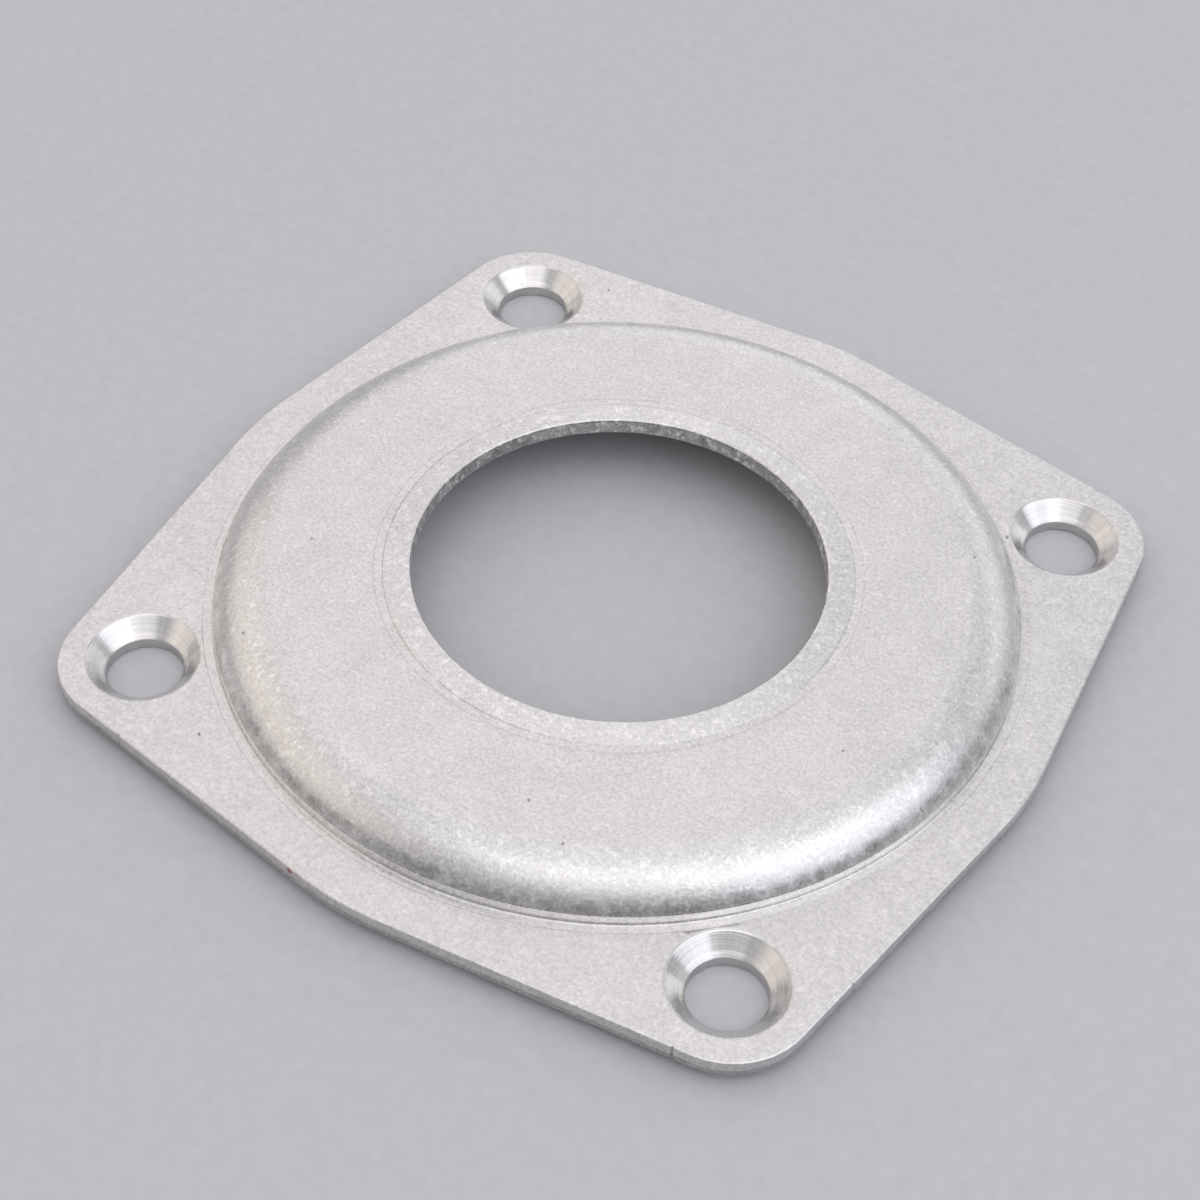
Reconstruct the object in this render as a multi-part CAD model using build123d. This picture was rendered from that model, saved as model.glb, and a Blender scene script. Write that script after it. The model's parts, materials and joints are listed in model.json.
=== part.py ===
"""Pressed cover plate: one piece of aluminium sheet.

A flat square flange carries a low round dome with a bore in its middle, and four
dimpled countersinks stand in the flange's corners. All sizes are in millimetres.

Frame: the origin is the centre of the plate on the flange's underside, the face that
seats on the housing. +Z points up, out of the dome, along the bore. +X and +Y run
parallel to the rows of holes.
"""
import os
from math import acos, atan2, cos, degrees, hypot, pi, radians, sin, sqrt, tan

from build123d import *

# ---------------------------------------------------------------- driving dimensions
SHEET_T = 2.0            # sheet thickness, the same all over

# flange outline
HOLE_SPACING = 72.0      # between hole centres, along X and along Y
CORNER_R = 8.9           # corner arc, concentric with its hole
SIDE_FLANGE = 5.97       # width of the flange beside the dome, mid-side, where it bulges
SIDE_BEND_R = 34.6       # soft bend in the middle of each side
EDGE_R = 0.3             # tumbled rounding of the blanked edge, top and bottom
NICK_W = 0.36            # witness nicks left where two blanking cuts met
NICK_DEPTH = 0.22
NICKS = {"right": (-29.4, 31.4), "back": (-35.9,), "front": (-31.0, 35.4)}   # along a side

# dome, heights above the flange's top face
DOME_H = 4.8             # flange top to the flat crown
SHOULDER_R = 7.0         # outer radius of the soft shoulder
BAND_H = 1.1             # burnished upright band at the foot
BAND_LEDGE = 0.06        # the shoulder starts this much inside the band
FOOT_FILLET = 0.3        # inside corner between flange and band
COIN_W = 1.05            # narrow coined track round the foot
COIN_DEPTH = 0.07
SEAT_GAP = 0.05          # flange left flat between that track and the countersinks' rims
ENTRY_R = 1.2            # rounding under the foot, where the sheet turns up

# bore and its raised lip
BORE_D = 44.4
LIP_START_R = 25.15      # crease where the crown starts to rise to the lip
LIP_RISE = 0.38          # height of the lip above the crown, at the bore
RING_W = 1.0             # coined ring just outside the crease
RING_DEPTH = 0.08
BORE_EDGE_R = 0.35       # rounded upper edge of the bore
BORE_BACK_R = 0.25       # rounded lower edge of the bore

# dimpled countersinks
CSK_D = 12.2             # countersink at the flange's top face
CSK_HALF_ANGLE = 45.0
CSK_RIM_R = 0.5          # soft rim between flange and cone
CSK_FOOT_D = 9.3         # where the cone meets its flatter foot
CSK_FOOT_DROP = 0.45     # height of that foot
HOLE_D = 8.2
DIMPLE_DEPTH = 3.15      # flange top to the bottom of the dimple
DIMPLE_ROOT_R = 1.2      # fillet where the dimple leaves the flange's underside
DIMPLE_EDGE_R = 0.5      # rounding round the dimple's bottom
HOLE_BREAK = 0.1         # broken lower edge of the hole

# ------------------------------------------------------------------ derived dimensions
TOP = SHEET_T                        # z of the flange's top face
CROWN = TOP + DOME_H                 # z of the flat crown
HALF = HOLE_SPACING / 2
BORE_R = BORE_D / 2
HOLE_R = HOLE_D / 2
CSK_R = CSK_D / 2
CSK_FOOT_R = CSK_FOOT_D / 2
HOLE_OUT = hypot(HALF, HALF)         # plate centre to a hole centre
REACH = HOLE_OUT + CORNER_R          # plate centre to the tip of a corner
# The dome is as wide as the screw seats allow, and the sides bulge to clear the dome.
SEAT_R = CSK_R + CSK_RIM_R * tan(radians(CSK_HALF_ANGLE / 2))
TRACK_R = HOLE_OUT - SEAT_R - SEAT_GAP
DOME_FOOT_R = TRACK_R - COIN_DEPTH - COIN_W
SIDE_REACH = DOME_FOOT_R + SIDE_FLANGE
SIDES = ("right", "back", "left", "front")      # anticlockwise, from +X


# --------------------------------------------------------------------- profile helpers
def rounded(prev, tip, nxt, radius):
    """Entry point, middle and exit point of an arc that rounds the corner at tip."""
    ax, az = prev[0] - tip[0], prev[1] - tip[1]
    bx, bz = nxt[0] - tip[0], nxt[1] - tip[1]
    la, lb = hypot(ax, az), hypot(bx, bz)
    ax, az, bx, bz = ax / la, az / la, bx / lb, bz / lb
    half = acos(max(-1.0, min(1.0, ax * bx + az * bz))) / 2
    back = min(radius / tan(half), 0.48 * la, 0.48 * lb)
    radius = back * tan(half)
    mx, mz = ax + bx, az + bz
    lm = hypot(mx, mz)
    reach = radius / sin(half)
    cx, cz = tip[0] + mx / lm * reach, tip[1] + mz / lm * reach
    mid = (cx - mx / lm * radius, cz - mz / lm * radius)
    return ((tip[0] + ax * back, tip[1] + az * back), mid,
            (tip[0] + bx * back, tip[1] + bz * back))


def revolved(corners):
    """Solid of revolution about Z.

    Each corner is (r, z), (r, z, rounding), or ("arc", (r, z) on the way, (r, z) end).
    """
    ends = [c[2] if c[0] == "arc" else (c[0], c[1]) for c in corners]
    count = len(corners)
    edges, start = [], None

    def at(p):
        return (p[0], 0, p[1])

    def line(a, b):
        if hypot(a[0] - b[0], a[1] - b[1]) > 1e-6:
            edges.append(Edge.make_line(at(a), at(b)))

    first = None
    for i, corner in enumerate(corners):
        if corner[0] == "arc":
            edges.append(Edge.make_three_point_arc(at(start), at(corner[1]), at(corner[2])))
            start = corner[2]
            continue
        here = ends[i]
        if len(corner) == 3 and corner[2] > 0:
            a, mid, b = rounded(ends[i - 1], here, ends[(i + 1) % count], corner[2])
        else:
            a, mid, b = here, None, here
        if start is None:
            first = a
        else:
            line(start, a)
        if mid is not None:
            edges.append(Edge.make_three_point_arc(at(a), at(mid), at(b)))
        start = b
    line(start, first)
    return Solid.revolve(Face(Wire(edges)), 360.0, Axis.Z)


# ------------------------------------------------------------------------- the pressing
def pressing():
    """Flange, foot, dome and lip, turned as one sheet section and still round."""
    # The shoulder ends level on the crown, and comes down to the top of the band.
    zc = CROWN - SHOULDER_R
    shoulder_r = DOME_FOOT_R - BAND_LEDGE
    band_top = TOP + BAND_H
    rc = shoulder_r - sqrt(SHOULDER_R ** 2 - (band_top - zc) ** 2)
    low = atan2(band_top - zc, shoulder_r - rc)
    mid = (low + pi / 2) / 2
    # Underneath, the same centre with a radius less by the sheet, then the entry bend.
    inner = SHOULDER_R - SHEET_T
    zb = ENTRY_R
    rb = rc + sqrt((inner + ENTRY_R) ** 2 - (zb - zc) ** 2)
    turn = atan2(zb - zc, rb - rc)
    touch = (rc + inner * cos(turn), zc + inner * sin(turn))
    entry_mid = (pi + turn + 1.5 * pi) / 2
    under_mid = (turn + pi / 2) / 2
    slope = LIP_RISE / (LIP_START_R - BORE_R)
    far = REACH + 10
    ring_out = LIP_START_R + RING_W
    return revolved([
        (far, 0.0),
        (far, TOP),
        (TRACK_R, TOP),
        (TRACK_R - COIN_DEPTH, TOP - COIN_DEPTH),
        (DOME_FOOT_R, TOP - COIN_DEPTH, FOOT_FILLET),
        (DOME_FOOT_R, band_top),
        (shoulder_r, band_top),
        ("arc", (rc + SHOULDER_R * cos(mid), zc + SHOULDER_R * sin(mid)), (rc, CROWN)),
        (ring_out + RING_DEPTH, CROWN),
        (ring_out - RING_DEPTH, CROWN - RING_DEPTH),
        (LIP_START_R + RING_DEPTH, CROWN - RING_DEPTH),
        (LIP_START_R, CROWN),
        (BORE_R, CROWN + slope * (LIP_START_R - BORE_R), BORE_EDGE_R),
        (BORE_R, CROWN - SHEET_T + LIP_RISE, BORE_BACK_R),
        (LIP_START_R, CROWN - SHEET_T, 1.0),
        (rc, CROWN - SHEET_T),
        ("arc", (rc + inner * cos(under_mid), zc + inner * sin(under_mid)), touch),
        ("arc", (rb + ENTRY_R * cos(entry_mid), zb + ENTRY_R * sin(entry_mid)), (rb, 0.0)),
    ])


def side_shape():
    """Centre of a side's bend on its own axis, and the lean of the line beside it."""
    centre = SIDE_REACH - SIDE_BEND_R
    dx, dy = HALF - centre, HALF
    ratio = max(-1.0, min(1.0, (SIDE_BEND_R - CORNER_R) / hypot(dx, dy)))
    lean = degrees(atan2(dy, dx)) - degrees(acos(ratio))
    if lean <= 0.05 or SIDE_REACH <= HALF + CORNER_R:
        lean = 0.0          # no bulge left: the side is one straight line
    return centre, lean


def outline():
    """The flange seen from above: four corner arcs and four softly bent sides."""
    centre, lean = side_shape()

    def ray(cx, cy, r, deg):
        return (cx + r * cos(radians(deg)), cy + r * sin(radians(deg)))

    corner_in = ray(HALF, HALF, CORNER_R, lean)
    corner_mid = ray(HALF, HALF, CORNER_R, 45)
    corner_out = ray(HALF, HALF, CORNER_R, 90 - lean)
    edges = [Edge.make_three_point_arc(corner_in, corner_mid, corner_out)]
    if lean > 0:
        low, high = (ray(centre, 0, SIDE_BEND_R, a) for a in (-lean, lean))
        edges.insert(0, Edge.make_three_point_arc(low, (SIDE_REACH, 0), high))
        edges.insert(1, Edge.make_line(high, corner_in))
        edges.append(Edge.make_line(corner_out, (-low[1], low[0])))
    else:
        edges.append(Edge.make_line(corner_out, (-HALF, HALF + CORNER_R)))
    quarters = [Location((0, 0, 0), (0, 0, 90 * k)) for k in range(4)]
    return Face(Wire([edge.moved(turn) for turn in quarters for edge in edges]))


def dimple():
    """What a dimple adds under the flange, centred on the Z axis, without its root fillet."""
    run = tan(radians(CSK_HALF_ANGLE))
    skin = SHEET_T / cos(radians(CSK_HALF_ANGLE))
    bottom = TOP - DIMPLE_DEPTH
    inside = 0.4 * SHEET_T
    r_low = max(CSK_R - DIMPLE_DEPTH * run + skin, HOLE_R + 0.6)
    r_high = r_low + (inside - bottom) * run
    return revolved([
        (0.0, bottom),
        (r_low, bottom, DIMPLE_EDGE_R),
        (r_high, inside),
        (0.0, inside),
    ])


def countersink():
    """What a dimple takes away from the flange's top, centred on the Z axis."""
    run = tan(radians(CSK_HALF_ANGLE))
    cone_low = TOP - (CSK_R - CSK_FOOT_R) / run
    foot_low = cone_low - CSK_FOOT_DROP
    bottom = TOP - DIMPLE_DEPTH
    return revolved([
        (0.0, TOP + 1.0),
        (CSK_R + run, TOP + 1.0),
        (CSK_FOOT_R, cone_low),
        (HOLE_R, foot_low),
        (HOLE_R, bottom + HOLE_BREAK),
        (HOLE_R + HOLE_BREAK + 1.0, bottom - 1.0),
        (0.0, bottom - 1.0),
    ])


def softened(body, radius, level):
    """Fillet the circles round the holes that lie at one height."""
    rings = [e for e in body.edges()
             if e.geom_type == GeomType.CIRCLE and abs(e.center().Z - level) < 1e-4
             and abs(e.bounding_box().size.Z) < 1e-4
             and abs(abs(e.arc_center.X) - HALF) < 1e-3
             and abs(abs(e.arc_center.Y) - HALF) < 1e-3
             and e.radius < CORNER_R - EDGE_R - 0.01]
    return single(body.fillet(radius, rings))


def side_point(side, along):
    """Point on the outline and its outward normal, for one side.

    along is the distance from the middle of the side, positive anticlockwise.
    """
    centre, lean = side_shape()
    y = abs(along)
    bend_end = SIDE_BEND_R * sin(radians(lean)) if lean > 0 else 0.0
    line_end = HALF + CORNER_R * sin(radians(lean))
    if lean > 0 and y <= bend_end:
        x = centre + sqrt(SIDE_BEND_R ** 2 - y ** 2)
        normal = degrees(atan2(y, x - centre))
    elif y <= line_end:
        x = HALF + CORNER_R * cos(radians(lean)) + (line_end - y) * tan(radians(lean))
        normal = lean
    else:
        x = HALF + sqrt(max(CORNER_R ** 2 - (y - HALF) ** 2, 0.01))
        normal = degrees(atan2(y - HALF, x - HALF))
    sign = 1 if along >= 0 else -1
    facing = 90 * SIDES.index(side)
    turn = radians(facing)
    px, py = x, sign * y
    return (px * cos(turn) - py * sin(turn), px * sin(turn) + py * cos(turn),
            facing + sign * normal)


def nick(side, along):
    """A small upright V cut into the flange's edge."""
    x, y, outward = side_point(side, along)
    reach = 3 * NICK_DEPTH
    half = NICK_W / 2 * (reach + NICK_DEPTH) / NICK_DEPTH
    points = [(-NICK_DEPTH, 0.0), (reach, -half), (reach, half)]
    wire = Wire([Edge.make_line(points[i], points[(i + 1) % 3]) for i in range(3)])
    blade = Solid.extrude(Face(wire), Vector(0, 0, 2 * SHEET_T))
    return blade.moved(Location((x, y, -0.5 * SHEET_T), (0, 0, outward)))


def single(shape):
    """The one solid in a boolean's result."""
    solids = list(shape.solids()) if hasattr(shape, "solids") else list(shape)
    if len(solids) != 1:
        raise ValueError(f"expected one solid, found {len(solids)}")
    return solids[0]


def removed(body, tool):
    """Cut the tool away, and stop if nothing went: a cut must never be lost quietly."""
    left = single(body.cut(tool))
    if left.volume > body.volume - 1e-3:
        raise ValueError("a cut took nothing away")
    return left


def on_rim(edge):
    """True for the flange's outer edges, top and bottom: level, and outside the track."""
    spot, size = edge.center(), edge.bounding_box().size
    level = min(abs(spot.Z), abs(spot.Z - TOP)) < 1e-4 and abs(size.Z) < 1e-4
    return level and hypot(spot.X, spot.Y) > TRACK_R + 0.5 * COIN_DEPTH


def cover_plate():
    over = SHEET_T          # the outline's tool stands this far past the pressing
    tall = CROWN + LIP_RISE + 2 * over
    prism = Solid.extrude(outline(), Vector(0, 0, tall)).moved(Location((0, 0, -over)))
    body = single(pressing() & prism)
    body = body.fillet(min(EDGE_R, 0.45 * SHEET_T), body.edges().filter_by(on_rim))
    below, above = dimple(), countersink()
    spots = [Location((x, y, 0)) for x in (-HALF, HALF) for y in (-HALF, HALF)]
    for spot in spots:
        body = single(body.fuse(below.moved(spot)))
    body = softened(body, DIMPLE_ROOT_R, 0.0)
    for spot in spots:
        body = removed(body, above.moved(spot))
    body = softened(body, CSK_RIM_R, TOP)
    for side, places in NICKS.items():
        for along in places:
            body = removed(body, nick(side, along))
    return body


if __name__ == "__main__":
    os.makedirs("parts", exist_ok=True)
    plate = cover_plate()
    plate.label = "cover_plate"
    export_step(plate, "parts/cover_plate.step")
    box = plate.bounding_box()
    print("cover_plate valid", plate.is_valid, "volume", round(plate.volume, 1),
          "box", [round(v, 3) for v in (*tuple(box.min), *tuple(box.max))])
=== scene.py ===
# %% [markdown]
# # Pressed cover plate
#
# A square plate of aluminium sheet with a low round dome, a bore in the middle and four
# dimpled countersinks. It was blanked, pressed, machined at its holes and then tumbled
# with small stones, and each of those steps left its own shape and its own finish. This
# lesson loads the plate's frame, sets the camera and the lights, models the plate from
# turned sections and a blanked edge, and then builds the finishes in one metal.

# %% Load the frame
import json
import math
import bmesh
import bpy
from mathutils import Matrix, Vector, noise


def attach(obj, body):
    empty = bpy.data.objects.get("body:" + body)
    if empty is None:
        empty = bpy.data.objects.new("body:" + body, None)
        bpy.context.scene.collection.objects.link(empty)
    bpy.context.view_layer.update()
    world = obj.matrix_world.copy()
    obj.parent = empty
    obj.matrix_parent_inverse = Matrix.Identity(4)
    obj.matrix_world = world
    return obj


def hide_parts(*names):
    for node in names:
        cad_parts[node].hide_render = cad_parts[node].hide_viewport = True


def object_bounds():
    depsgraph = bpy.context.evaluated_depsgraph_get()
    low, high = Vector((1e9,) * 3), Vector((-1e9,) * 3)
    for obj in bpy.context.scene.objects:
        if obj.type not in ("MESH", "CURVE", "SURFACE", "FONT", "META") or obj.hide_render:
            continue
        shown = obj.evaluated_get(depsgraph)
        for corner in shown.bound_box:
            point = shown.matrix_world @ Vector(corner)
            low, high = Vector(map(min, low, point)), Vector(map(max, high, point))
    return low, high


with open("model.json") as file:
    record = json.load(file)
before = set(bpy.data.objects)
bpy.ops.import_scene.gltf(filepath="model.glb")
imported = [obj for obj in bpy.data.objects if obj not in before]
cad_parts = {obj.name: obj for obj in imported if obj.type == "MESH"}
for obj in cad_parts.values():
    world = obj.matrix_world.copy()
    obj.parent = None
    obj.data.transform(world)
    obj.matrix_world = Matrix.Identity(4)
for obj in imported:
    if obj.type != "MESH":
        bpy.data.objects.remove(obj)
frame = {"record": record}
cad_box = [list(corner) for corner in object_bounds()]
MM = 0.001                 # the scene is in metres, and the drawing in millimetres
low = cad_box[0][2] / MM   # the dimples' undersides, which the plate stands on
print("box in mm", [[round(v / MM, 2) for v in corner] for corner in cad_box])

# %% [markdown]
# ## Camera
#
# A camera is a place, a direction and a lens. The direction is made by looking at a point
# near the middle of the plate and then rolling the camera a little, as a hand-held one
# always is. A 71 mm lens on a full-frame sensor, a quarter of a metre away, gives the
# strong perspective of a close view of a small part.

# %% Set the camera
eye = Vector((91.73, -150.77, 188.74)) * MM
aim = Vector((-1.11, -1.80, 2.00)) * MM
roll = math.radians(2.16)
turn = (aim - eye).to_track_quat("-Z", "Y").to_matrix() @ Matrix.Rotation(roll, 3, "Z")
camera = bpy.data.objects.new("camera", bpy.data.cameras.new("camera"))
camera.matrix_world = Matrix.Translation(eye) @ turn.to_4x4()
camera.data.sensor_width = 36.0
camera.data.lens = 71.25
camera.data.clip_start = 0.01
bpy.context.collection.objects.link(camera)
bpy.context.scene.camera = camera
print("camera at", [round(v / MM) for v in eye], "mm, lens", camera.data.lens)

# %% [markdown]
# ## Drawing sizes
#
# The plate is one sheet, 2 mm thick all over, so a few sizes give it all: the hole
# pattern, the bore, the dome's height and its two bends. They are written once here, in
# millimetres, and everything after is worked out from them. The bolt pattern and the bore
# come from the part's record, because other parts line up with them.

# %% Name the sizes
mounts = {m["name"]: m["dims"] for m in frame["record"]["mounts"]}
hole_out = mounts["bolts"]["spacing_x_mm"] / 2
hole_r = mounts["bolts"]["hole_r_mm"]
bore_r = mounts["bore"]["r_mm"]
sheet, dome_h = 2.0, 4.8
shoulder_bend, entry_bend = 7.0, 1.2
band_h, band_ledge, foot_fillet = 1.1, 0.06, 0.3
coin_w, coin_depth = 1.05, 0.07
lip_r, lip_rise, ring_w, ring_depth = 25.15, 0.38, 1.0, 0.08
cone_r, cone_foot_r, foot_drop, rim_bend = 6.1, 4.65, 0.45, 0.5
dimple_depth, dimple_root, dimple_edge = 3.15, 1.2, 0.5
corner_r, side_bend, side_flange, edge_bend = 8.9, 34.6, 5.97, 0.3
top = sheet
crown = top + dome_h
rim_back = rim_bend * math.tan(math.radians(22.5))
track_r = math.hypot(hole_out, hole_out) - cone_r - rim_back - 0.05
foot_r = track_r - coin_depth - coin_w
side_reach = foot_r + side_flange
print("dome foot radius", round(foot_r, 2), "side reach", round(side_reach, 2))

# %% [markdown]
# ## Pen strokes
#
# A turned shape starts as a section, which is a line drawn with straight and round
# strokes. A straight stroke adds one vertex and an edge. A round one is a vertex spun
# about the bend's centre, and a small corner is softened by a vertex bevel. Spinning the
# finished section about an axis then makes the solid, much as a press tool is turned.

# %% Strokes for a section
def line(mesh, tip, point):
    """A straight stroke from the tip to a point; gives back the new tip."""
    end = mesh.verts.new(point)
    mesh.edges.new((tip, end))
    return end


def arc(mesh, tip, centre, degrees, steps, axis=(0, 1, 0)):
    """A round stroke: the tip is spun about a centre; gives back the new tip."""
    made = bmesh.ops.spin(mesh, geom=[tip], cent=centre, axis=axis,
                          angle=math.radians(degrees), steps=steps)
    return next(g for g in made["geom_last"] if isinstance(g, bmesh.types.BMVert))


def soften(mesh, corners, steps=5):
    """Round each corner of a section by its own radius."""
    for corner, radius in corners:
        a, b = (e.other_vert(corner).co - corner.co for e in corner.link_edges)
        back = 0.999 * radius / math.tan(a.angle(b) / 2)
        bmesh.ops.bevel(mesh, geom=[corner], offset=back, segments=steps, profile=0.5,
                        affect="VERTICES", material=-1)


def grown(mesh, before):
    """What the mesh has gained since its vertices were the ones in before."""
    verts = [v for v in mesh.verts if v not in before]
    edges = list({e for v in verts for e in v.link_edges})
    faces = list({f for v in verts for f in v.link_faces})
    return verts, edges, faces


# %% [markdown]
# ## The blanked edge
#
# The flange's outline is four corner arcs, each round its own hole, joined to four softly
# bent sides, because the sides bulge to clear the dome. It is drawn as one loop, filled,
# extruded down by the sheet's thickness, and its two long edges are bevelled, because
# tumbling rounds them. The blanking die left small nicks where its cuts met.

# %% Blank the outline
body = bmesh.new()
bend_at = side_reach - side_bend
reach_in = hole_out - bend_at
lean = math.atan2(hole_out, reach_in) - math.acos(
    (side_bend - corner_r) / math.hypot(reach_in, hole_out))
ease = math.degrees(lean)
tip = first = body.verts.new((hole_out + corner_r * math.cos(lean),
                              hole_out + corner_r * math.sin(lean), top))
for k in range(4):
    quarter = Matrix.Rotation(math.radians(90 * k), 3, "Z")
    tip = arc(body, tip, quarter @ Vector((hole_out, hole_out, top)), 90 - 2 * ease, 24,
              axis=(0, 0, 1))
    bend_start = Vector((side_bend * math.sin(lean), bend_at + side_bend * math.cos(lean), top))
    tip = line(body, tip, quarter @ bend_start)
    tip = arc(body, tip, quarter @ Vector((0, bend_at, top)), 2 * ease, 24, axis=(0, 0, 1))
    if k < 3:
        corner = Vector((-first.co.y, first.co.x, top))
        tip = line(body, tip, quarter @ corner)
body.edges.new((tip, first))
print("outline of", len(body.edges), "edges")

# %% Cut its columns where the nicks go, then extrude and round it
nick_w, nick_depth = 0.36, 0.22
nicks = [("x", 1, -29.4), ("x", 1, 31.4), ("y", 1, 35.9), ("y", -1, -31.0), ("y", -1, 35.4)]
for across, side, along in nicks:
    way = Vector((0, 1, 0)) if across == "x" else Vector((1, 0, 0))
    for share in (-0.5, -0.25, 0, 0.25, 0.5):
        bmesh.ops.bisect_plane(body, geom=body.verts[:] + body.edges[:],
                               plane_co=way * (along + share * nick_w), plane_no=way)
blank = bmesh.ops.contextual_create(body, geom=body.edges[:])["faces"]
lower = bmesh.ops.extrude_face_region(body, geom=blank, use_keep_orig=True)["geom"]
bmesh.ops.translate(body, verts=[g for g in lower if isinstance(g, bmesh.types.BMVert)],
                    vec=(0, 0, -sheet))
long_edges = [e for e in body.edges if abs(e.verts[0].co.z - e.verts[1].co.z) < 1e-6]
bmesh.ops.bevel(body, geom=long_edges, offset=edge_bend, segments=5, profile=0.5,
                affect="EDGES", material=-1)
big = [f for f in body.faces if len(f.verts) > 8]
bmesh.ops.delete(body, geom=big, context="FACES_ONLY")
for across, side, along in nicks:
    a, b = (0, 1) if across == "x" else (1, 0)
    for v in body.verts:
        off = abs(v.co[b] - along) / (nick_w / 2)
        if off < 0.999 and side * v.co[a] > 0:
            v.co[a] -= side * nick_depth * (1 - off)
print("edge", len(body.faces), "faces, caps taken off", len(big))

# %% [markdown]
# ## The pressing
#
# Flange, foot, dome and lip are one sheet section turned about the bore. The section runs
# from the coined track over the dome to the bore, down its wall, and back underneath with
# the same bend centres and a radius less by the sheet. So the wall keeps its thickness,
# as sheet does when it is bent over a tool. The coined ring beside the lip is a shallow
# dish with a soft outer slope, because tumbling has worn its outer edge away.

# %% Turn the dome
before = set(body.verts)
band_top = top + band_h
shoulder_z = crown - shoulder_bend
shoulder_r = foot_r - band_ledge
bend_r = shoulder_r - math.sqrt(shoulder_bend ** 2 - (band_top - shoulder_z) ** 2)
upper_turn = 90 - math.degrees(math.atan2(band_top - shoulder_z, shoulder_r - bend_r))
inner_bend = shoulder_bend - sheet
entry_at = bend_r + math.sqrt((inner_bend + entry_bend) ** 2 - (entry_bend - shoulder_z) ** 2)
under_turn = 90 - math.degrees(math.atan2(entry_bend - shoulder_z, entry_at - bend_r))
corners = []
tip = body.verts.new((track_r, 0, top))
for r, z, radius in ((track_r - coin_depth, top - coin_depth, 0.1),
                     (foot_r, top - coin_depth, foot_fillet),
                     (foot_r, band_top, 0.05), (shoulder_r, band_top, 0)):
    tip = line(body, tip, (r, 0, z))
    corners.append((tip, radius))
tip = arc(body, tip, (bend_r, 0, shoulder_z), -upper_turn, 24)
for r, z, radius in ((lip_r + ring_w + 0.4, crown, 0.3),
                     (lip_r + ring_w - 0.2, crown - 0.7 * ring_depth, 0.3),
                     (lip_r + ring_depth, crown - ring_depth, 0.1),
                     (lip_r, crown, 0.1),
                     (bore_r, crown + lip_rise, 0.35),
                     (bore_r, crown - sheet + lip_rise, 0.25),
                     (lip_r, crown - sheet, 1.0), (bend_r, crown - sheet, 0)):
    tip = line(body, tip, (r, 0, z))
    corners.append((tip, radius))
tip = arc(body, tip, (bend_r, 0, shoulder_z), under_turn, 16)
arc(body, tip, (entry_at, 0, entry_bend), -under_turn, 8)
soften(body, [c for c in corners if c[1] > 0])
verts, edges, _ = grown(body, before)
bmesh.ops.spin(body, geom=verts + edges, cent=(0, 0, 0), axis=(0, 0, 1),
               angle=math.tau, steps=360, use_merge=True)
print("section of", len(verts), "vertices turned")

# %% [markdown]
# ## The dimpled countersinks
#
# A punch pressed each dimple down through the flange, and a cutter then opened its cone.
# One dimple is turned about the first hole, and a spin that duplicates it by quarter
# turns about the bore makes the other three, so the pattern can't drift.

# %% Turn one dimple and carry it round
before = set(body.verts)
bottom = top - dimple_depth
cone_low = top - (cone_r - cone_foot_r)
dimple_r = cone_r - dimple_depth + sheet * math.sqrt(2)
root_r = dimple_r - bottom
corners = []
tip = body.verts.new((hole_out + cone_r + rim_back, hole_out, top))
for r, z, radius in ((cone_r, top, rim_bend), (cone_foot_r, cone_low, 0.15),
                     (hole_r, cone_low - foot_drop, 0.06), (hole_r, bottom + 0.1, 0.04),
                     (hole_r + 0.1, bottom, 0.04), (dimple_r, bottom, dimple_edge),
                     (root_r, 0.0, dimple_root),
                     (root_r + dimple_root * math.tan(math.radians(22.5)), 0.0, 0)):
    tip = line(body, tip, (hole_out + r, hole_out, z))
    corners.append((tip, radius))
soften(body, [c for c in corners if c[1] > 0], steps=4)
verts, edges, _ = grown(body, before)
bmesh.ops.spin(body, geom=verts + edges, cent=(hole_out, hole_out, 0), axis=(0, 0, 1),
               angle=math.tau, steps=128, use_merge=True)
verts, edges, faces = grown(body, before)
bmesh.ops.spin(body, geom=verts + edges + faces, cent=(0, 0, 0), axis=(0, 0, 1),
               angle=0.75 * math.tau, steps=3, use_duplicate=True)
print("four dimples of", len(faces), "faces")

# %% [markdown]
# ## The ragged lower rims
#
# The punch broke through the sheet at each hole's lower rim and left a ragged little burr,
# which shows as a bright broken line under the cone. Noise moves the rim's vertices
# inwards by up to a tenth of a millimetre, so the burr is part of the shape.

# %% Fray the holes' lower rims
tooth, fray, most = 1 / 2.2, 0.16, 0.1           # mm: a tooth's length, its rise, the limit
frayed = 0
for v in grown(body, before)[0]:
    centre = Vector((math.copysign(hole_out, v.co.x), math.copysign(hole_out, v.co.y)))
    out = v.co.xy - centre
    if out.length < hole_r + 0.08 and v.co.z < bottom + 0.16:
        push = max(0.0, noise.noise(v.co / tooth) + 0.15) * fray
        v.co.xy = centre + out * (1 - min(push, most) / out.length)
        frayed += 1
print("frayed vertices", frayed)

# %% [markdown]
# ## Close the flange
#
# The edge, the dome and the dimples are shells with open rims, and all those rims lie in
# two planes: the flange's top and its underside. Filling each plane between its rims
# closes the sheet. Merging the doubled rims and recalculating the normals then makes one
# shell that faces outwards.

# %% Fill the two faces and check the shell
for z in (top, 0.0):
    rims = [e for e in body.edges
            if e.is_boundary and all(abs(v.co.z - z) < 1e-4 for v in e.verts)]
    bmesh.ops.triangle_fill(body, edges=rims, use_beauty=True)
bmesh.ops.remove_doubles(body, verts=body.verts, dist=1e-5)
bmesh.ops.recalc_face_normals(body, faces=body.faces)
open_edges = sum(not e.is_manifold for e in body.edges)
print("open edges", open_edges, "volume in mm3", round(body.calc_volume()))

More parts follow.
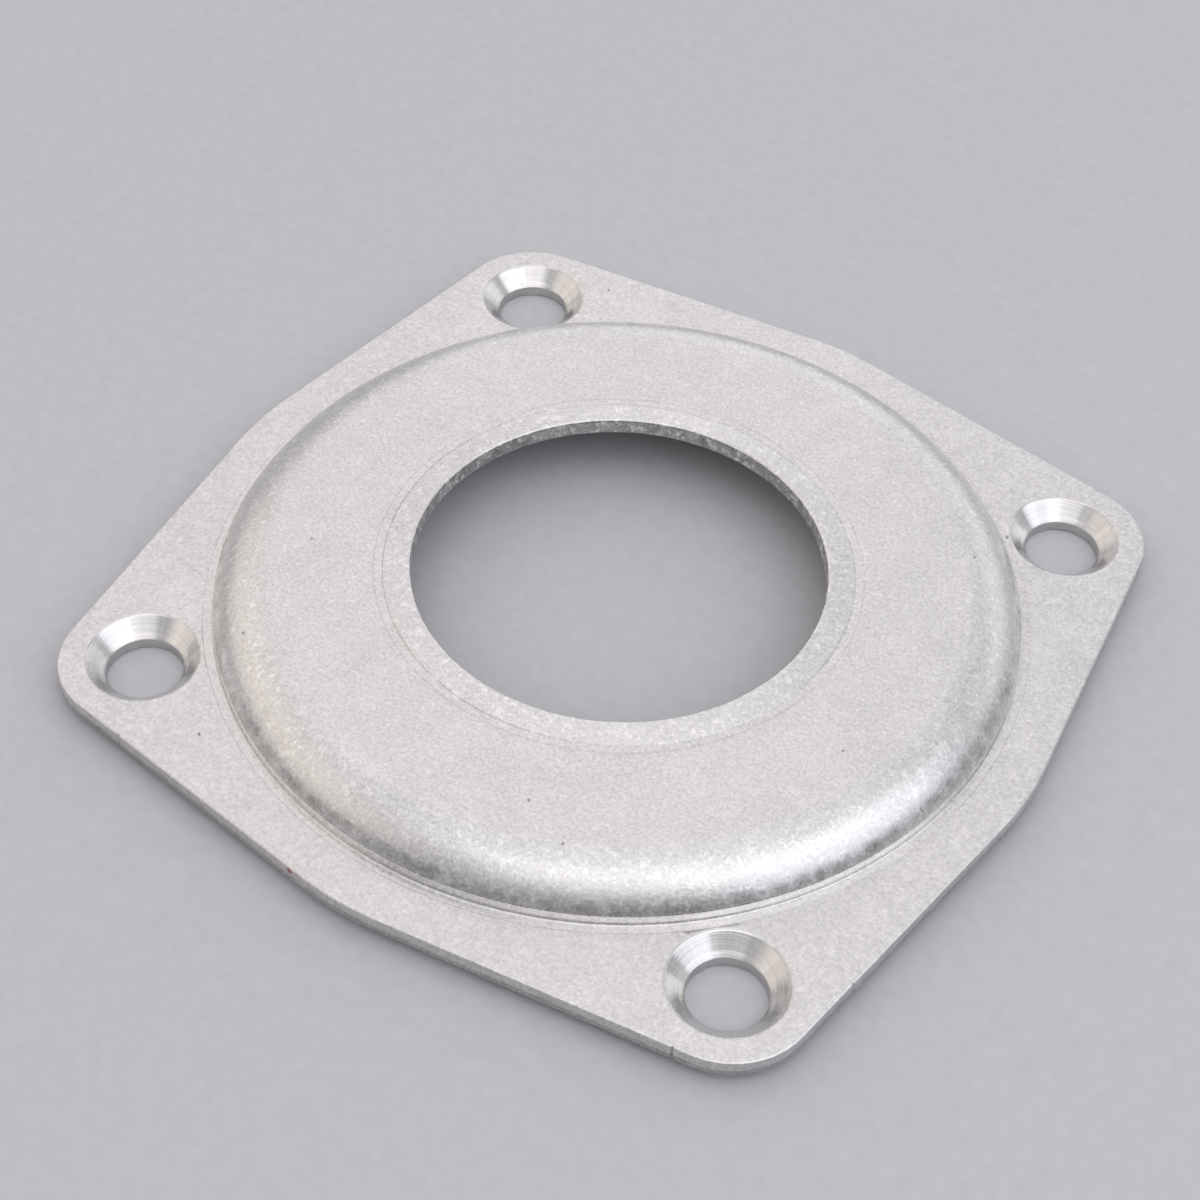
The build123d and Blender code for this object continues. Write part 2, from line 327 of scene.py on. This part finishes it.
# %% Make the plate an object
bmesh.ops.scale(body, vec=(MM, MM, MM), verts=body.verts)
for face in body.faces:
    face.smooth = True
for edge in body.edges:
    edge.smooth = edge.calc_face_angle(0) < math.radians(50)
plate_mesh = bpy.data.meshes.new("cover plate")
body.to_mesh(plate_mesh)
body.free()
plate = bpy.data.objects.new("pressed_plate", plate_mesh)
bpy.context.collection.objects.link(plate)
lean_on_flats = plate.modifiers.new("normals lean on the flats", "WEIGHTED_NORMAL")
lean_on_flats.keep_sharp = True
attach(plate, "root")
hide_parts("cover_plate")
print("plate of", sum(len(p.vertices) - 2 for p in plate_mesh.polygons), "triangles")

# %% [markdown]
# ## Colours and nodes
#
# Colours are written as sRGB hex values, as a paint chart gives them, and Blender's
# sockets want linear light, so one function turns them. One more function adds a node
# with its settings and its links, so that each line of a material reads as one step.

# %% Helpers for colours and nodes
def linear(code):
    """A colour socket's value for an sRGB hex code."""
    parts = [int(code[i:i + 2], 16) / 255 for i in (1, 3, 5)]
    return tuple(c / 12.92 if c <= 0.04045 else ((c + 0.055) / 1.055) ** 2.4
                 for c in parts) + (1.0,)


def add(tree, kind, inputs=None, **settings):
    """Add a shader node; an input that is a socket is linked, any other is set."""
    made = tree.nodes.new("ShaderNode" + kind)
    for name, value in settings.items():
        setattr(made, name, value)
    for name, value in (inputs or {}).items():
        if isinstance(value, bpy.types.NodeSocket):
            tree.links.new(value, made.inputs[name])
        else:
            made.inputs[name].default_value = value
    return made


# %% [markdown]
# ## Air and lamps
#
# The plate is shown as small parts are: on a table, under soft lamps. A metal reflects
# what surrounds it, so the air matters as much as the lamps. It is dim near the horizon on
# the camera's side, and that gives the dome's steep foot its dark band. Each lamp is a soft
# box whose level is the brightness it shows in a mirror, so a level of 1 looks white. All
# together they come to about the light at which a colour renders as it is written.

# %% Air
world = bpy.data.worlds.new("studio air")
bpy.context.scene.world = world
world.use_nodes = True
air = world.node_tree
air.nodes.clear()
way = add(air, "TexCoord").outputs["Generated"]
far_side = Vector((-0.52, 0.85, 0)) * 0.2        # the room is lighter behind the plate
height = add(air, "VectorMath", {0: way, 1: far_side + Vector((0, 0, 1))},
             operation="DOT_PRODUCT").outputs["Value"]
shade = add(air, "ValToRGB", {0: height})
ramp = shade.color_ramp.elements
ramp[0].position, ramp[0].color = 0.0, linear("#6a686c")
ramp[1].position, ramp[1].color = 1.0, linear("#eae8ec")
for place, code in ((0.25, "#bfbdc2"), (0.6, "#c1bfc4")):
    ramp.new(place).color = linear(code)
glow = add(air, "Background", {"Color": shade.outputs["Color"], "Strength": 1.0})
add(air, "OutputWorld", {"Surface": glow.outputs[0]})
print("air of", len(ramp), "shades")


# %% Lamps
def lamp(name, toward, away, size, level, tint):
    """A soft box in a direction from the plate; a level of 1 looks white in a mirror."""
    data = bpy.data.lights.new(name, "AREA")
    data.shape = "RECTANGLE"
    data.size, data.size_y = size
    data.energy = level * math.pi * size[0] * size[1]
    data.color = linear(tint)[:3]
    made = bpy.data.objects.new(name, data)
    made.location = Vector(toward).normalized() * away
    made.rotation_euler = Vector(toward).to_track_quat("Z", "Y").to_euler()
    bpy.context.collection.objects.link(made)
    return made


lamps = [lamp("panel overhead", (0.22, -0.05, 0.97), 0.8, (1.0, 1.0), 0.20, "#fffdff"),
         lamp("softbox above the eye", (0.27, -0.44, 0.86), 0.8, (0.7, 0.6), 0.50, "#fffcff"),
         lamp("window on the right", (0.80, 0.05, 0.60), 0.7, (0.70, 0.50), 0.90, "#f6f6ff"),
         lamp("warm softbox on the left", (-0.82, -0.30, 0.50), 0.7, (1.1, 0.5), 0.42, "#fff0da"),
         lamp("softbox behind on the left", (-0.47, 0.50, 0.73), 0.8, (0.6, 0.6), 0.24, "#fff6ee"),
         lamp("long low box behind", (-0.03, 0.94, 0.34), 0.8, (1.4, 0.4), 0.50, "#fbfaff")]
print([(made.name, round(made.data.energy, 2)) for made in lamps])

# %% [markdown]
# ## The paper floor
#
# The plate stands on matt grey paper. Paper is a mat of short fibres with no gloss, so a
# rough surface with a faint uneven tone is enough. Its grain is drawn at 1.5 mm, coarser
# than real fibres, so that it shows. The floor is wide enough to fill a low view, and it
# lies 0.02 mm under the dimples, so that no two faces share one plane. It is a stage and
# not part of the plate.

# %% Floor
FLOOR_REACH, FLOOR_GAP = 8.0, 0.02 * MM          # metres
ground = bmesh.new()
bmesh.ops.create_grid(ground, x_segments=1, y_segments=1, size=FLOOR_REACH)
bmesh.ops.translate(ground, verts=ground.verts, vec=(0, 0, low * MM - FLOOR_GAP))
floor_mesh = bpy.data.meshes.new("floor")
ground.to_mesh(floor_mesh)
ground.free()
floor = bpy.data.objects.new("floor", floor_mesh)
bpy.context.collection.objects.link(floor)
paper = bpy.data.materials.new("matt grey paper")
paper.use_nodes = True
tree = paper.node_tree
tree.nodes.clear()
here = add(tree, "TexCoord").outputs["Object"]
FIBRE = 1.5 * MM
fibre = add(tree, "TexNoise", {"Vector": here, "Scale": 1 / FIBRE, "Detail": 3.0})
tone = add(tree, "ValToRGB", {0: fibre.outputs[0]})
for stop, place, code in zip(tone.color_ramp.elements, (0.3, 0.7), ("#bfc0c3", "#c4c5c8")):
    stop.position, stop.color = place, linear(code)
shader = add(tree, "BsdfPrincipled", {"Base Color": tone.outputs[0], "Roughness": 0.85})
add(tree, "OutputMaterial", {"Surface": shader.outputs[0]})
floor_mesh.materials.append(paper)
print("floor at", round(low, 2), "mm")

# %% [markdown]
# ## The metal: where a point lies
#
# The whole plate is one metal, aluminium, and only its surface differs from place to
# place. So it has one material, and each finish is laid where the drawing says. All of it
# reads the object's own coordinates, turned into millimetres, so a size in a pattern is a
# size on the plate. A mask is 1 where a measure lies between two sizes.

# %% Measures and masks
metal = bpy.data.materials.new("tumbled aluminium")
metal.use_nodes = True
tree = metal.node_tree
tree.nodes.clear()
here = add(tree, "TexCoord").outputs["Object"]
mm = add(tree, "VectorMath", {0: here, "Scale": 1 / MM}, operation="SCALE").outputs[0]
z = add(tree, "SeparateXYZ", {0: mm}).outputs["Z"]
plan = add(tree, "VectorMath", {0: mm, 1: (1, 1, 0)}, operation="MULTIPLY").outputs[0]
from_bore = add(tree, "VectorMath", {0: plan}, operation="LENGTH").outputs["Value"]
quarter = add(tree, "VectorMath", {0: mm}, operation="SIGN").outputs[0]
hole_at = add(tree, "VectorMath", {0: quarter, 1: (hole_out, hole_out, 0)},
              operation="MULTIPLY").outputs[0]
at_hole = add(tree, "VectorMath", {0: plan, 1: hole_at}, operation="SUBTRACT").outputs[0]
from_hole = add(tree, "VectorMath", {0: at_hole}, operation="LENGTH").outputs["Value"]


def inside(measure, low_end, high_end, soft):
    """A mask that is 1 where a measure lies between two sizes, with soft ends."""
    middle, half = (low_end + high_end) / 2, (high_end - low_end) / 2
    off = add(tree, "Math", {0: measure, 1: middle}, operation="SUBTRACT").outputs[0]
    away = add(tree, "Math", {0: off}, operation="ABSOLUTE").outputs[0]
    return add(tree, "MapRange", {"Value": away, "From Min": half + soft / 2,
                                  "From Max": half - soft / 2},
               interpolation_type="SMOOTHSTEP").outputs[0]


def both(a, b):
    """Where two masks meet; a plain number makes a mask fainter."""
    return add(tree, "Math", {0: a, 1: b}, operation="MULTIPLY").outputs[0]


def plus(value, mask, amount):
    """A value with so much more of it where the mask is 1."""
    return add(tree, "Math", {0: mask, 1: amount, 2: value}, operation="MULTIPLY_ADD").outputs[0]


flange_top = inside(z, top - 0.5, top + 0.3, 0.1)
foot_zone = both(inside(from_bore, foot_r - 0.55, foot_r + 0.12, 0.12),
                 inside(z, top + 0.05, band_top + 0.06, 0.1))
track_zone = both(inside(from_bore, foot_r + 0.25, track_r - 0.05, 0.12), flange_top)
shoulder_zone = both(inside(from_bore, foot_r - 5.2, foot_r, 2.0),
                     inside(z, band_top + 0.15, crown + 0.5, 0.3))
lip_zone = both(inside(from_bore, bore_r, lip_r + 0.2, 0.4), inside(z, crown - 0.2, 9, 0.2))
# The dome's lower wall just above the band: its strong mottling is tone that differs at random,
# and its slight darkening is painted shade
lower_wall_mottle_and_shade = both(inside(from_bore, foot_r - 0.95, foot_r, 0.35),
                 inside(z, band_top + 0.1, band_top + 1.3, 0.5))
wall_zone = inside(from_bore, -1, bore_r + 0.08, 0.1)
cone_zone = both(inside(from_hole, -1, cone_r + 0.25, 0.1), inside(z, 0.1, top - 0.02, 0.05))
hole_zone = inside(from_hole, -1, hole_r + 0.12, 0.06)
edge_zone = both(both(inside(from_bore, 44.9, 90, 0.3), inside(z, 0.1, top - 0.14, 0.12)),
                 inside(from_hole, cone_r + 1.4, 200, 0.3))
print("nodes so far", len(tree.nodes))

# %% [markdown]
# ## The tumbled skin
#
# Tumbling with small stones leaves a skin of tiny overlapping dents. Their edges catch the
# light as salt-and-pepper grain, 0.36 mm across here and finer on the real plate. Worn high
# spots are whiter and come in flecks, most of all on the shoulder and the lip. Slow clouds
# a few millimetres wide keep a large face from looking printed.

# %% Grain, flecks and clouds
GRAIN, FLECK, DULL, CLOUD = 0.36, 0.8, 1.7, 4.5   # mm across
grain = add(tree, "TexNoise", {"Vector": mm, "Scale": 1 / GRAIN, "Detail": 2.0,
                               "Roughness": 0.75}).outputs[0]
fleck_noise = add(tree, "TexNoise", {"Vector": mm, "Scale": 1 / FLECK, "Detail": 4.0,
                                     "Roughness": 0.65, "Distortion": 0.4}).outputs[0]
flecks = add(tree, "MapRange", {"Value": fleck_noise, "From Min": 0.52, "From Max": 0.66},
             interpolation_type="SMOOTHSTEP").outputs[0]
clouds = add(tree, "TexNoise", {"Vector": mm, "Scale": 1 / CLOUD, "Detail": 2.0}).outputs[0]
dull = add(tree, "TexNoise", {"Vector": mm, "Scale": 1 / DULL, "Detail": 3.0}).outputs[0]
print("nodes so far", len(tree.nodes))

# %% [markdown]
# ## Hair scratches
#
# Handling has left hair-fine scratches that run in every direction. A scratch is a short
# stroke in its own cell: a Voronoi texture gives each cell a centre and a random colour,
# the colour turns the cell's own axes, and a mask keeps a thin line along one of them.
# Three sizes of cell give long rare strokes and short common ones. They are drawn about
# 0.13 mm wide, several times the real width, so that they show.

# %% Scratches
def scratches(cell, long, wide, share):
    """Strokes turned at random, one to a cell of so many mm; a share of cells has one."""
    seen = add(tree, "TexVoronoi", {"Vector": plan, "Scale": 1 / cell, "Randomness": 1.0},
               voronoi_dimensions="2D", feature="F1")
    chance = add(tree, "SeparateColor", {0: seen.outputs["Color"]}).outputs
    centre = add(tree, "VectorMath", {0: seen.outputs["Position"], "Scale": cell},
                 operation="SCALE").outputs[0]
    off = add(tree, "VectorMath", {0: plan, 1: centre}, operation="SUBTRACT").outputs[0]
    turn_by = add(tree, "Math", {0: chance[0], 1: math.tau}, operation="MULTIPLY").outputs[0]
    turned = add(tree, "VectorRotate", {"Vector": off, "Angle": turn_by},
                 rotation_type="Z_AXIS").outputs[0]
    along, across, _ = add(tree, "SeparateXYZ", {0: turned}).outputs
    bowed = add(tree, "Math", {0: along, 1: along}, operation="MULTIPLY").outputs[0]
    bent = add(tree, "Math", {0: bowed, 1: 0.12 / cell, 2: across}, operation="MULTIPLY_ADD")
    stroke = both(inside(bent.outputs[0], -wide / 2, wide / 2, wide),
                  inside(along, -long / 2, long / 2, long / 2))
    return both(stroke, inside(chance[1], -1, share, 0.01))


strokes = None
for cell, long, wide, share in ((0.8, 0.6, 0.14, 0.5), (1.5, 1.2, 0.13, 0.45),
                                (3.6, 3.0, 0.11, 0.3)):
    more = scratches(cell, long, wide, share)
    strokes = more if strokes is None else add(
        tree, "Math", {0: strokes, 1: more}, operation="MAXIMUM").outputs[0]
print("nodes so far", len(tree.nodes))

# %% [markdown]
# ## Marks
#
# A used plate has a few marks of its own: dark specks where grit was pressed in, and a
# touch of red marking paint on the front edge. Each speck is a distance from its place,
# and a little noise makes it ragged. The lip's two fine grooves are painted a little
# darker: that is painted shade in their creases.

# %% Specks and paint
specks = ((-29.1, -15.8), (-26.9, -30.1), (30.8, 22.8), (30.8, 32.2), (41.8, -9.0),
          (10.3, -31.9), (16.0, -34.4), (-24.3, -40.8), (32.5, -9.0), (-29.1, 42.4))
SHAKE = 0.5                # mm: how far the noise moves a speck's outline, to and fro
ragged = add(tree, "TexNoise", {"Vector": mm, "Scale": 2.0}).outputs["Color"]
shaken = add(tree, "VectorMath", {0: ragged, 1: (SHAKE, SHAKE, SHAKE), 2: plan},
             operation="MULTIPLY_ADD").outputs[0]
nearest = None
for along_x, along_y in specks:
    centre = Vector((along_x, along_y, 0)) + Vector((SHAKE, SHAKE, SHAKE)) / 2
    far = add(tree, "VectorMath", {0: shaken, 1: centre},
              operation="DISTANCE").outputs["Value"]
    nearest = far if nearest is None else add(
        tree, "Math", {0: nearest, 1: far}, operation="MINIMUM").outputs[0]
crease = inside(from_bore, lip_r - 0.02, lip_r + 0.16, 0.16)
ring_rim = inside(from_bore, lip_r + ring_w - 0.05, lip_r + ring_w + 0.1, 0.2)
# The crease and the ring's rim together: painted shade in the lip's grooves
groove_painted_shade = add(tree, "Math", {0: crease, 1: ring_rim}, operation="MAXIMUM").outputs[0]
dirt = both(inside(nearest, -1, 0.17, 0.2), inside(z, top - 0.1, 9, 0.1))
red_dab = (-6.2, -48.9, 1.5)
red_off = add(tree, "VectorMath", {0: mm, 1: red_dab}, operation="DISTANCE")
paint = inside(red_off.outputs["Value"], -1, 0.34, 0.3)
print("specks", len(specks))

# %% [markdown]
# ## The machined cones
#
# The countersinks were cut after pressing, so their cones are bright turned metal with
# fine rings, and a cutter that chattered left facets which run down the cone. It was not
# quite central, so on one side a matt crescent of the pressed skin stays. Real rings are
# about 0.1 mm apart, and these are drawn at 0.22 mm so that they show.

# %% Rings and chatter
CUTTER_OFF = (-0.34, 0.24, 0)                     # mm from the hole's centre
RING_PITCH = 0.22
at_cutter = add(tree, "VectorMath", {0: at_hole, 1: CUTTER_OFF},
                operation="SUBTRACT").outputs[0]
from_cutter = add(tree, "VectorMath", {0: at_cutter}, operation="LENGTH").outputs["Value"]
machined = both(inside(from_cutter, -1, cone_r - 0.28, 0.14), cone_zone)
rings = add(tree, "TexNoise", {"W": from_cutter, "Scale": 1 / RING_PITCH, "Detail": 2.0,
                               "Roughness": 0.7}, noise_dimensions="1D").outputs[0]
way_round = add(tree, "VectorMath", {0: at_cutter}, operation="NORMALIZE").outputs[0]
own_way = add(tree, "VectorMath", {0: quarter, 1: (3.1, 5.3, 0), 2: way_round},
              operation="MULTIPLY_ADD").outputs[0]
chatter = add(tree, "TexNoise", {"Vector": own_way, "Scale": 4.5, "Detail": 3.0,
                                 "Roughness": 0.6}).outputs[0]
print("nodes so far", len(tree.nodes))

# %% [markdown]
# ## The blanked edge
#
# A blanking die shears the first part of the sheet, which leaves a burnished band under
# the rounded top corner. The rest tears, which leaves a darker and rougher band below. The
# border between the two wanders, and fine tool lines run down the edge.

# %% Sheared and torn
wander = add(tree, "TexNoise", {"Vector": plan, "Scale": 1 / 2.5, "Detail": 3.0}).outputs[0]
border = plus(z, wander, -0.9)
torn = both(inside(border, -2, 0.45, 0.25), edge_zone)
tool_lines = add(tree, "TexNoise", {"Vector": plan, "Scale": 1 / 0.3, "Detail": 2.0}).outputs[0]
print("nodes so far", len(tree.nodes))

# %% [markdown]
# ## Tone, roughness and relief
#
# Each finish adds to three things: the tone, which is how much light the metal gives back,
# the roughness, which is how far it spreads that light, and the relief, in millimetres. A
# burnished place is smooth and light, a torn one is rough and dark. Aluminium is a pale
# grey metal, #e6e5e3 where it is clean.

# %% Add the finishes up
grain_off = add(tree, "Math", {0: grain, 1: 0.5}, operation="SUBTRACT").outputs[0]
cloud_off = add(tree, "Math", {0: clouds, 1: 0.5}, operation="SUBTRACT").outputs[0]
dull_off = add(tree, "Math", {0: dull, 1: 0.5}, operation="SUBTRACT").outputs[0]
ring_off = add(tree, "Math", {0: rings, 1: 0.5}, operation="SUBTRACT").outputs[0]
chatter_off = add(tree, "Math", {0: chatter, 1: 0.5}, operation="SUBTRACT").outputs[0]
line_off = add(tree, "Math", {0: tool_lines, 1: 0.5}, operation="SUBTRACT").outputs[0]
worn = add(tree, "Math", {0: shoulder_zone, 1: lip_zone}, operation="MAXIMUM").outputs[0]
cut_metal = add(tree, "Math", {0: machined, 1: hole_zone}, operation="MAXIMUM").outputs[0]
skin = add(tree, "Math", {0: 1.0, 1: cut_metal}, operation="SUBTRACT").outputs[0]

tone = both(both(grain_off, skin), 0.75)
for mask, amount in ((cloud_off, 0.14), (dull_off, 0.10), (both(flecks, skin), 0.08),
                     (both(flecks, worn), 0.12), (both(strokes, skin), 0.30),
                     # the lower wall's slight darkening is painted shade, and its mottling is
                     # random tone
                     (foot_zone, 0.04), (lower_wall_mottle_and_shade, -0.04), (both(dull_off, lower_wall_mottle_and_shade), 0.9),
                     (wall_zone, -0.32), (both(flecks, wall_zone), 0.50),
                     # the grooves' darkening is painted shade
                     (both(dull_off, wall_zone), 0.8), (groove_painted_shade, -0.14),
                     (edge_zone, -0.06), (torn, -0.22), (hole_zone, -0.15),
                     (both(ring_off, machined), 0.34), (both(chatter_off, machined), 0.45),
                     (dirt, -0.5)):
    tone = plus(tone, mask, amount)
PLAIN_TONE, PLAIN_ROUGH = 0.92, 0.38
gain = add(tree, "Math", {0: tone, 1: PLAIN_TONE}, operation="ADD").outputs[0]

rough = both(both(grain_off, skin), 0.25)
for mask, amount in ((dull_off, 0.12), (worn, -0.05), (foot_zone, -0.18), (track_zone, -0.08),
                     (machined, -0.16), (both(chatter_off, machined), 0.20),
                     (torn, 0.12), (strokes, 0.06), (dirt, 0.3)):
    rough = plus(rough, mask, amount)
spread = add(tree, "Math", {0: rough, 1: PLAIN_ROUGH}, operation="ADD").outputs[0]

smooth = add(tree, "Math", {0: foot_zone, 1: track_zone}, operation="MAXIMUM").outputs[0]
matt = add(tree, "Math", {0: smooth, 1: -0.8, 2: skin}, operation="MULTIPLY_ADD").outputs[0]
relief = both(both(grain_off, matt), 0.020)
for mask, amount in ((both(dull_off, matt), 0.016), (both(strokes, matt), -0.004),
                     (both(ring_off, machined), 0.012), (both(chatter_off, machined), 0.020),
                     (both(grain_off, torn), 0.06), (both(line_off, edge_zone), 0.012)):
    relief = plus(relief, mask, amount)
print("nodes so far", len(tree.nodes))

# %% Colour the metal and finish the shader
clean = add(tree, "VectorMath", {0: linear("#e6e5e3")[:3], "Scale": gain},
            operation="SCALE").outputs[0]
marked = add(tree, "Mix", {0: both(paint, 0.8), 6: clean, 7: linear("#a8404a")},
             data_type="RGBA").outputs[2]
dents = add(tree, "Bump", {"Height": relief, "Distance": MM, "Strength": 1.0}).outputs[0]
shader = add(tree, "BsdfPrincipled", {"Base Color": marked, "Roughness": spread,
                                      "Metallic": 1.0, "Normal": dents})
add(tree, "OutputMaterial", {"Surface": shader.outputs[0]})
plate_mesh.materials.append(metal)
print("metal of", len(tree.nodes), "nodes")

# %% [markdown]
# ## Finish
#
# The Standard view shows a colour as it is written.

# %% Finish
bpy.context.scene.view_settings.view_transform = "Standard"
